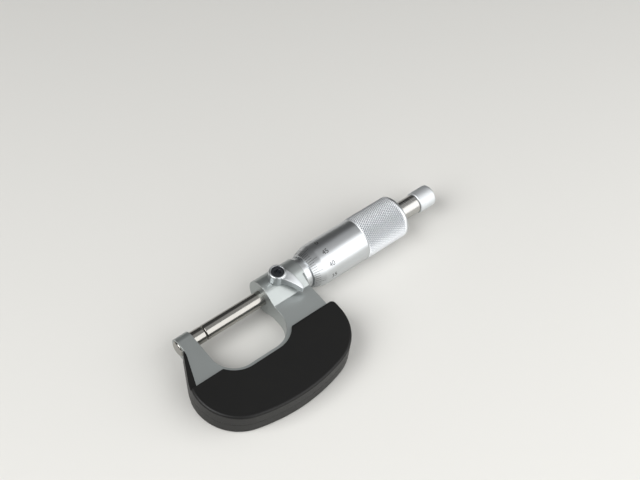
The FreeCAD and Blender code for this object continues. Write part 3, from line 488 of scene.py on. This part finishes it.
@dataclass(frozen=True)
class TumbledNode:
    """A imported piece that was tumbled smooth: sampled again on a fine grid and rounded all over."""

    node: str
    body: str
    slot: str
    finish: Finish
    grid: float = 0.08
    softness: float = 0.5
    passes: int = 24
    smooth_degrees: float = 180.0

    def build(self, wardrobe: Wardrobe) -> None:
        """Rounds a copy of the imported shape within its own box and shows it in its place.

        Args:
            wardrobe: where the material comes from.
        """
        packed = frame["nodes"][self.node].data
        holder = bpy.data.objects.new(self.node + "_sampled", packed.copy())
        bpy.context.scene.collection.objects.link(holder)
        grid = holder.modifiers.new("grid", "REMESH")
        grid.mode = "VOXEL"
        grid.voxel_size = self.grid * MM
        rounds = holder.modifiers.new("tumbled", "SMOOTH")
        rounds.factor = self.softness
        rounds.iterations = self.passes
        bpy.context.view_layer.update()
        sampled = bpy.data.meshes.new_from_object(holder.evaluated_get(
            bpy.context.evaluated_depsgraph_get()))
        low = [min(vert.co[axis] for vert in packed.vertices) for axis in range(3)]
        high = [max(vert.co[axis] for vert in packed.vertices) for axis in range(3)]
        bpy.data.objects.remove(holder)
        shape = bmesh.new()
        shape.from_mesh(sampled)
        bpy.data.meshes.remove(sampled)
        for vert in shape.verts:
            vert.co = Vector([min(max(vert.co[axis], low[axis]), high[axis]) for axis in range(3)])
        piece = finish_piece(shape, self.node + "_tumbled", self.finish, wardrobe, self.body)
        shade_smooth(piece, self.smooth_degrees)
        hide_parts(self.node)


@dataclass(frozen=True)
class Knurl:
    """A diamond knurl: two crossed sets of V grooves that lean either way from the axis.

    The mesh has a fixed number of stations to a pitch, so that the diamonds' points and the
    crossings of the grooves lie on its corners, and each square on a groove is split along it.
    """

    start: float
    end: float
    radius: float
    starts: int
    lean_degrees: float
    depth: float
    fade: float
    steepness: float = 1.8
    per_pitch: int = 4
    slack_parts: int = 10

    def pitch_along(self) -> float:
        """Returns the distance along the axis from a diamond to the next, in millimetres."""
        return math.tau * self.radius / self.starts / math.tan(math.radians(self.lean_degrees))

    def stations(self) -> list[float]:
        """Lists the places of the mesh's rings along the axis.

        Returns:
            The places, in millimetres.
        """
        step = self.pitch_along() / self.per_pitch
        count = int((self.end - self.start) / step)
        return [self.start + step * index for index in range(count + 1)]

    def steps(self) -> int:
        """Returns the number of mesh steps round the piece."""
        return self.starts * self.per_pitch

    def station_of(self, place: Vector) -> tuple[int, int]:
        """Finds a corner's station on the knurl's mesh.

        Args:
            place: the corner's place, in metres.

        Returns:
            Its number round the piece and its number along it.
        """
        angle = math.atan2(place.y, place.z) % math.tau
        step = self.pitch_along() / self.per_pitch
        return round(angle / (math.tau / self.steps())), round((place.x / MM - self.start) / step)

    def cut(self, shape: bmesh.types.BMesh) -> None:
        """Sinks the grooves into the plain rings of the spun shell, and marks them on it for the painted
        sheen on the pads and the painted shade down the grooves.

        Args:
            shape: the spun shell.
        """
        grip_mark = shape.verts.layers.float.new(GRIP_MARK)
        groove_mark = shape.verts.layers.float.new(GROOVE_SHADE_MARK)
        rings = self.stations()
        slack = (rings[1] - rings[0]) / self.slack_parts
        low = self.radius - slack
        grip = [v for v in shape.verts if rings[0] - slack < v.co.x / MM < rings[-1] + slack
                and math.hypot(v.co.y, v.co.z) / MM > low]
        chosen = set(grip)
        faces = [f for f in shape.faces if all(v in chosen for v in f.verts)]
        for face in faces:
            spots = {v: self.station_of(v.co) for v in face.verts}
            last = self.steps() - 1
            if {spot[0] for spot in spots.values()} == {0, last}:
                spots = {v: (spot[0] or last + 1, spot[1]) for v, spot in spots.items()}
            along_u = [v for v, (i, j) in spots.items() if (i + j) % self.per_pitch == 0]
            along_v = [v for v, (i, j) in spots.items() if (i - j) % self.per_pitch == 0]
            for pair in (along_u, along_v):
                if len(pair) == 2 and face.is_valid:
                    first, second = (spots[v] for v in pair)
                    if first[0] != second[0] and first[1] != second[1]:
                        bmesh.utils.face_split(face, pair[0], pair[1])
                        break
        for vert in grip:
            i, j = self.station_of(vert.co)
            u = (i + j) % self.per_pitch / self.per_pitch
            v = (i - j) % self.per_pitch / self.per_pitch
            rise = min(1.0, self.steepness * 2 * min(u, 1 - u, v, 1 - v))
            edge = min(vert.co.x / MM - rings[0], rings[-1] - vert.co.x / MM)
            share = (1 - rise) * min(1.0, edge / self.fade)
            sink = self.depth * share
            # The grip mark carries the painted sheen, and the groove mark the painted shade, deepest at
            # the groove's bottom.
            vert[grip_mark] = 1.0
            vert[groove_mark] = share
            scale = 1 - sink / self.radius
            vert.co.y *= scale
            vert.co.z *= scale


@dataclass
class Thimble:
    """The thimble's shell with its bevelled edge, plain barrel and knurled grip; its scale is made by
    Scale.
    """

    front: float = 49.2
    bevel_end: float = 54.2
    bore_radius: float = 6.58
    edge_radius: float = 7.3
    edge_break: float = 0.15
    lip_length: float = 0.1
    shoulder_drop: float = 0.04
    barrel_radius: float = 9.0
    grip_start: float = 76.4
    grip_step: float = 0.05
    grip_break: float = 0.1
    end: float = 98.3
    end_round: float = 1.2
    round_steps: int = 5
    sharp_degrees: float = 30.0
    grip: Knurl = Knurl(start=76.6, end=97.1, radius=9.2, starts=62, lean_degrees=30.0,
                        depth=0.28, fade=0.5)
    bores: tuple[tuple[float, float], ...] = (
        (98.3, 5.05), (96.8, 5.05), (96.8, 2.93), (96.0, 2.93), (90.5, 3.73), (90.0, 3.73),
        (90.0, 6.58))

    def build(self, wardrobe: Wardrobe) -> None:
        """Makes the knurled shell in place of the plain one.

        Args:
            wardrobe: where the material comes from.
        """
        radius = self.grip.radius
        profile = [(self.front, self.bore_radius),
                   (self.front, self.edge_radius - self.edge_break),
                   (self.front + self.lip_length, self.edge_radius),
                   (self.bevel_end - self.edge_break, self.barrel_radius - self.shoulder_drop),
                   (self.bevel_end + self.edge_break, self.barrel_radius),
                   (self.grip_start, self.barrel_radius),
                   (self.grip_start + self.grip_step, radius - self.grip_break)]
        profile += [(along, radius) for along in self.grip.stations()]
        profile += rounded_end(self.end, radius, self.end_round, self.round_steps)
        profile += list(self.bores)
        shape = spin_profile(profile, self.grip.steps())
        self.grip.cut(shape)
        shell = finish_piece(shape, "thimble_shell", THIMBLE_CHROME, wardrobe, "thimble")
        shade_smooth(shell, self.sharp_degrees)
        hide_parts("thimble")


@dataclass
class RatchetKnob:
    """The ratchet knob with its fine knurl, rounded end and recess for the end screw."""

    start: float = 109.4
    end: float = 118.0
    radius: float = 4.65
    front_break: float = 0.25
    end_round: float = 1.0
    round_steps: int = 5
    sharp_degrees: float = 30.0
    grip: Knurl = Knurl(start=109.9, end=117.0, radius=4.65, starts=56, lean_degrees=30.0,
                        depth=0.05, fade=0.3)
    inside: tuple[tuple[float, float], ...] = (
        (118.0, 3.1), (116.5, 3.1), (116.5, 1.95), (114.7, 1.95), (114.7, 3.7), (109.4, 3.7))

    def build(self, wardrobe: Wardrobe) -> None:
        """Makes the knurled knob in place of the plain one.

        Args:
            wardrobe: where the material comes from.
        """
        profile = [(self.start, self.radius - self.front_break),
                   (self.start + self.front_break, self.radius)]
        profile += [(along, self.radius) for along in self.grip.stations()]
        profile += rounded_end(self.end, self.radius, self.end_round, self.round_steps)
        profile += list(self.inside)
        shape = spin_profile(profile, self.grip.steps())
        self.grip.cut(shape)
        knob = finish_piece(shape, "ratchet_knob_shell", KNOB_CHROME, wardrobe, "ratchet")
        shade_smooth(knob, self.sharp_degrees)
        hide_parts("ratchet_knob")


@dataclass
class Scale:
    """Cut and filled lines and figures on the thimble's edge and on the sleeve."""

    datum_degrees: float = 24.0
    divisions: int = 50
    line_width: float = 0.13
    proud: float = 0.008
    sunk: float = 0.03
    edge_gap: float = 0.25
    long_line: float = 4.5
    short_line: float = 2.5
    figure_height: float = 2.0
    figure_place: float = 58.0
    travel: float = 25.0
    lead: float = 0.5
    sleeve_radius: float = 6.5
    sleeve_zero: float = 48.7
    sleeve_overrun: float = 0.8
    long_mark: float = 1.9
    short_mark: float = 1.3
    sleeve_figure_rise: float = 2.1
    sleeve_figure_height: float = 1.5
    arc_pieces: int = 4
    arc_overlap: float = 1.02
    figure_cuts: int = 8
    cap_share: float = 0.7

    def build(self, wardrobe: Wardrobe) -> None:
        """Makes both scales.

        Args:
            wardrobe: where the material comes from.
        """
        self.build_dial(wardrobe)
        self.build_rule(wardrobe)

    def build_dial(self, wardrobe: Wardrobe) -> None:
        """Makes the lines and figures on the thimble.

        Args:
            wardrobe: where the material comes from.
        """
        thimble = Thimble()
        slope = (thimble.barrel_radius - thimble.edge_radius) / (thimble.bevel_end - thimble.front)
        lean = math.atan(slope)
        dial = bmesh.new()
        for division in range(self.divisions):
            figured = division % Reading.ROUND_THE_THIMBLE.value == 0
            length = self.long_line if figured else self.short_line
            start = thimble.front + self.edge_gap
            middle = start + length / 2 * math.cos(lean)
            radius = thimble.edge_radius + slope * (middle - thimble.front)
            angle = self.datum_degrees + 360 * division / self.divisions
            self.add_line(dial, middle, radius, angle, length, self.line_width, lean)
        for division in range(0, self.divisions, Reading.ROUND_THE_THIMBLE.value):
            angle = self.datum_degrees + 360 * division / self.divisions
            self.add_figure(dial, str(division), self.figure_place, thimble.barrel_radius, angle,
                            self.figure_height)
        finish_piece(dial, "thimble_scale", SCALE_INK, wardrobe, "thimble")

    def build_rule(self, wardrobe: Wardrobe) -> None:
        """Makes the datum line, marks and figures on the sleeve.

        Args:
            wardrobe: where the material comes from.
        """
        rule = bmesh.new()
        self.add_line(rule, self.sleeve_zero + self.travel / 2, self.sleeve_radius,
                      self.datum_degrees, self.travel + self.sleeve_overrun, self.line_width, 0.0)
        for index in range(int(self.travel / self.lead) + 1):
            whole = index % 2 == 0
            long = index % Reading.ALONG_THE_SLEEVE.value == 0
            length = self.long_mark if long else self.short_mark
            side = 1 if whole else -1
            angle = self.datum_degrees + side * math.degrees(length / 2 / self.sleeve_radius)
            place = self.sleeve_zero + index * self.lead
            self.add_arc(rule, place, self.sleeve_radius, angle, length)
            if long:
                rise = self.sleeve_figure_rise + self.sleeve_figure_height / 2
                up = self.datum_degrees + math.degrees(rise / self.sleeve_radius)
                self.add_figure(rule, str(index // 2), place, self.sleeve_radius, up,
                                self.sleeve_figure_height)
        finish_piece(rule, "sleeve_scale", SCALE_INK, wardrobe, "frame")

    def add_line(self, shape: bmesh.types.BMesh, along: float, radius: float, degrees: float,
                 length: float, width: float, lean: float) -> None:
        """Adds a filled line along the axis, sunk in a cylinder or a bevel.

        Args:
            shape: the bmesh that takes it.
            along: its middle along the axis, in millimetres.
            radius: the surface's radius there.
            degrees: its turn from +Z towards +Y.
            length: its length.
            width: its width.
            lean: the bevel's slope, in radians.
        """
        thick = self.proud + self.sunk
        lift = radius + self.proud - thick / 2
        place = (Matrix.Rotation(-math.radians(degrees), 4, "X")
                 @ Matrix.Translation((along * MM, 0, lift * MM))
                 @ Matrix.Rotation(-lean, 4, "Y")
                 @ Matrix.Diagonal((length * MM, width * MM, thick * MM, 1)))
        bmesh.ops.create_cube(shape, size=1.0, matrix=place)

    def add_arc(self, shape: bmesh.types.BMesh, along: float, radius: float, degrees: float,
                length: float) -> None:
        """Adds a filled line round the sleeve, in short straight pieces.

        Args:
            shape: the bmesh that takes it.
            along: its place along the axis, in millimetres.
            radius: the sleeve's radius.
            degrees: the turn of its middle from +Z towards +Y.
            length: its length round the sleeve.
        """
        piece = length / self.arc_pieces
        share = math.degrees(piece / radius)
        for index in range(self.arc_pieces):
            turn = degrees + (index + 0.5 - self.arc_pieces / 2) * share
            self.add_line(shape, along, radius, turn, self.line_width, piece * self.arc_overlap, 0.0)

    def add_figure(self, shape: bmesh.types.BMesh, text: str, along: float, radius: float,
                   degrees: float, height: float) -> None:
        """Adds a figure that reads along the axis, bent round the surface.

        Args:
            shape: the bmesh that takes it.
            text: the figure.
            along: its middle along the axis, in millimetres.
            radius: the surface's radius.
            degrees: its middle's turn from +Z towards +Y.
            height: the height of its digits.
        """
        curve = bpy.data.curves.new("figure", "FONT")
        curve.body = text
        curve.align_x = "CENTER"
        curve.align_y = "CENTER"
        curve.size = height / self.cap_share
        curve.extrude = (self.proud + self.sunk) / 2
        holder = bpy.data.objects.new("figure", curve)
        bpy.context.scene.collection.objects.link(holder)
        bpy.context.view_layer.update()
        flat = bpy.data.meshes.new_from_object(holder.evaluated_get(
            bpy.context.evaluated_depsgraph_get()))
        bpy.data.objects.remove(holder)
        bpy.data.curves.remove(curve)
        figure = bmesh.new()
        figure.from_mesh(flat)
        half = self.figure_cuts // 2
        for index in range(1 - half, half):
            bmesh.ops.bisect_plane(figure, geom=figure.verts[:] + figure.edges[:] + figure.faces[:],
                                   plane_co=(0, height * index / self.figure_cuts, 0),
                                   plane_no=(0, 1, 0))
        for vert in figure.verts:
            turn = math.radians(degrees) + vert.co.y / radius
            lift = radius + (self.proud - self.sunk) / 2 + vert.co.z
            vert.co = Vector((along + vert.co.x, lift * math.sin(turn), lift * math.cos(turn))) * MM
        figure.to_mesh(flat)
        figure.free()
        shape.from_mesh(flat)
        bpy.data.meshes.remove(flat)


@dataclass(frozen=True)
class Lamp:
    """A soft rectangular lamp, with its place and size in metres and its power in watts."""

    name: str
    place: tuple[float, float, float]
    size: tuple[float, float]
    power: float

    def build(self, aim: Vector) -> None:
        """Makes the lamp, turned to what it lights.

        Args:
            aim: the point that it faces, in metres.
        """
        data = bpy.data.lights.new(self.name, "AREA")
        data.shape = "RECTANGLE"
        data.size, data.size_y = self.size
        data.energy = self.power
        lamp = bpy.data.objects.new(self.name, data)
        lamp.visible_camera = False
        bpy.context.scene.collection.objects.link(lamp)
        lamp.location = self.place
        lamp.rotation_mode = "QUATERNION"
        lamp.rotation_quaternion = (Vector(self.place) - aim).to_track_quat("Z", "Y")


@dataclass
class Studio:
    """Floor, lamps, world and the camera at the photograph's angle."""

    eye: tuple[float, float, float] = (-0.1334, -0.1803, 0.3669)
    right: tuple[float, float, float] = (0.7711, -0.6300, 0.0923)
    up: tuple[float, float, float] = (0.4671, 0.6582, 0.5904)
    back: tuple[float, float, float] = (-0.4327, -0.4121, 0.8018)
    lens_mm: float = 63.0
    sensor_mm: float = 36.0
    clip_near: float = 0.01
    clip_far: float = 20.0
    floor_facing: tuple[float, float, float] = (0.009, 0.0649, 0.9979)
    floor_distance: float = -0.00852
    floor_size: float = 6.0
    floor_tone: str = "D9D8D4"
    floor_roughness: float = 0.9
    world_tone: str = "FFFFFF"
    world_strength: float = 0.09
    lamp_aim: tuple[float, float, float] = (0.045, -0.015, 0.0)
    lamps: tuple[Lamp, ...] = (
        Lamp("panel_front", (0.23, -0.43, 0.34), (0.9, 0.70), 4.1),
        Lamp("panel_over", (0.345, 0.125, 0.61), (0.5, 0.6), 0.4),
        Lamp("panel_right", (0.62, -0.26, 0.24), (0.4, 0.4), 0.25),
        Lamp("fill_left", (-0.62, 0.05, 0.62), (0.7, 0.7), 8.0))

    def build(self) -> None:
        """Makes the stage."""
        self.make_camera()
        self.make_floor()
        self.make_world()
        for lamp in self.lamps:
            lamp.build(Vector(self.lamp_aim))

    def make_camera(self) -> None:
        """Makes the camera from the fitted axes."""
        data = bpy.data.cameras.new("photo_camera")
        data.lens = self.lens_mm
        data.sensor_width = self.sensor_mm
        data.clip_start = self.clip_near
        data.clip_end = self.clip_far
        camera = bpy.data.objects.new("photo_camera", data)
        bpy.context.scene.collection.objects.link(camera)
        turn = Matrix((self.right, self.up, self.back)).transposed()
        camera.matrix_world = Matrix.Translation(self.eye) @ turn.to_4x4()
        bpy.context.scene.camera = camera

    def make_floor(self) -> None:
        """Makes the plain pale floor, through the points on which the part comes to rest.

        Those are the thimble's two lowest edges and the rear cover's outer edge, so the floor
        leans a little in the part's own axes.
        """
        mesh = bpy.data.meshes.new("floor")
        shape = bmesh.new()
        bmesh.ops.create_grid(shape, x_segments=1, y_segments=1, size=self.floor_size / 2)
        facing = Vector(self.floor_facing).normalized()
        tilt = facing.to_track_quat("Z", "Y").to_matrix().to_4x4()
        shape.transform(Matrix.Translation(facing * self.floor_distance) @ tilt)
        shape.to_mesh(mesh)
        shape.free()
        floor = bpy.data.objects.new("floor", mesh)
        bpy.context.scene.collection.objects.link(floor)
        material = bpy.data.materials.new("pale_matt_floor")
        material.use_nodes = True
        shader = material.node_tree.nodes["Principled BSDF"]
        shader.inputs["Base Color"].default_value = linear(self.floor_tone)
        shader.inputs["Roughness"].default_value = self.floor_roughness
        mesh.materials.append(material)

    def make_world(self) -> None:
        """Makes the even pale surroundings."""
        world = bpy.data.worlds.new("studio")
        world.use_nodes = True
        ground = world.node_tree.nodes["Background"]
        ground.inputs["Color"].default_value = linear(self.world_tone)
        ground.inputs["Strength"].default_value = self.world_strength
        bpy.context.scene.world = world


# The pieces whose edges are broken. The rear cover keeps its packed edges, which are too short.
EASED_NODES = (
    EasedNode("lock_screw", "lock", "black_oxide", BLACK_OXIDE, ease=0.12, sharp_degrees=24.0),
    EasedNode("frame", "frame", "frame_paint", FRAME_PAINT, ease=0.12),
    EasedNode("front_cover", "frame", "cover_plastic", COVER_PLASTIC, ease=0.15, sharp_degrees=30.0),
    EasedNode("anvil", "frame", "ground_steel", GROUND_STEEL, ease=0.1, sharp_degrees=30.0),
    EasedNode("sleeve", "frame", "satin_chrome", SATIN_CHROME, ease=0.06, sharp_degrees=30.0),
    EasedNode("spindle", "spindle", "ground_steel", GROUND_STEEL, ease=0.1, sharp_degrees=30.0),
    EasedNode("ratchet_body", "thimble", "turned_steel", TURNED_STEEL, ease=0.12, sharp_degrees=30.0),
)


def main() -> None:
    """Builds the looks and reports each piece."""
    logging.basicConfig(level=logging.INFO, format="%(name)s: %(message)s")
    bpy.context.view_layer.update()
    bpy.context.scene.view_settings.view_transform = "Standard"
    wardrobe = Wardrobe()
    wardrobe.dress_nodes()
    TumbledNode("lock_lever", "lock", "satin_chrome", SATIN_CHROME).build(wardrobe)
    for piece in EASED_NODES:
        piece.build(wardrobe)
    Thimble().build(wardrobe)
    RatchetKnob().build(wardrobe)
    Scale().build(wardrobe)
    Studio().build()


if __name__ == "__main__":
    main()
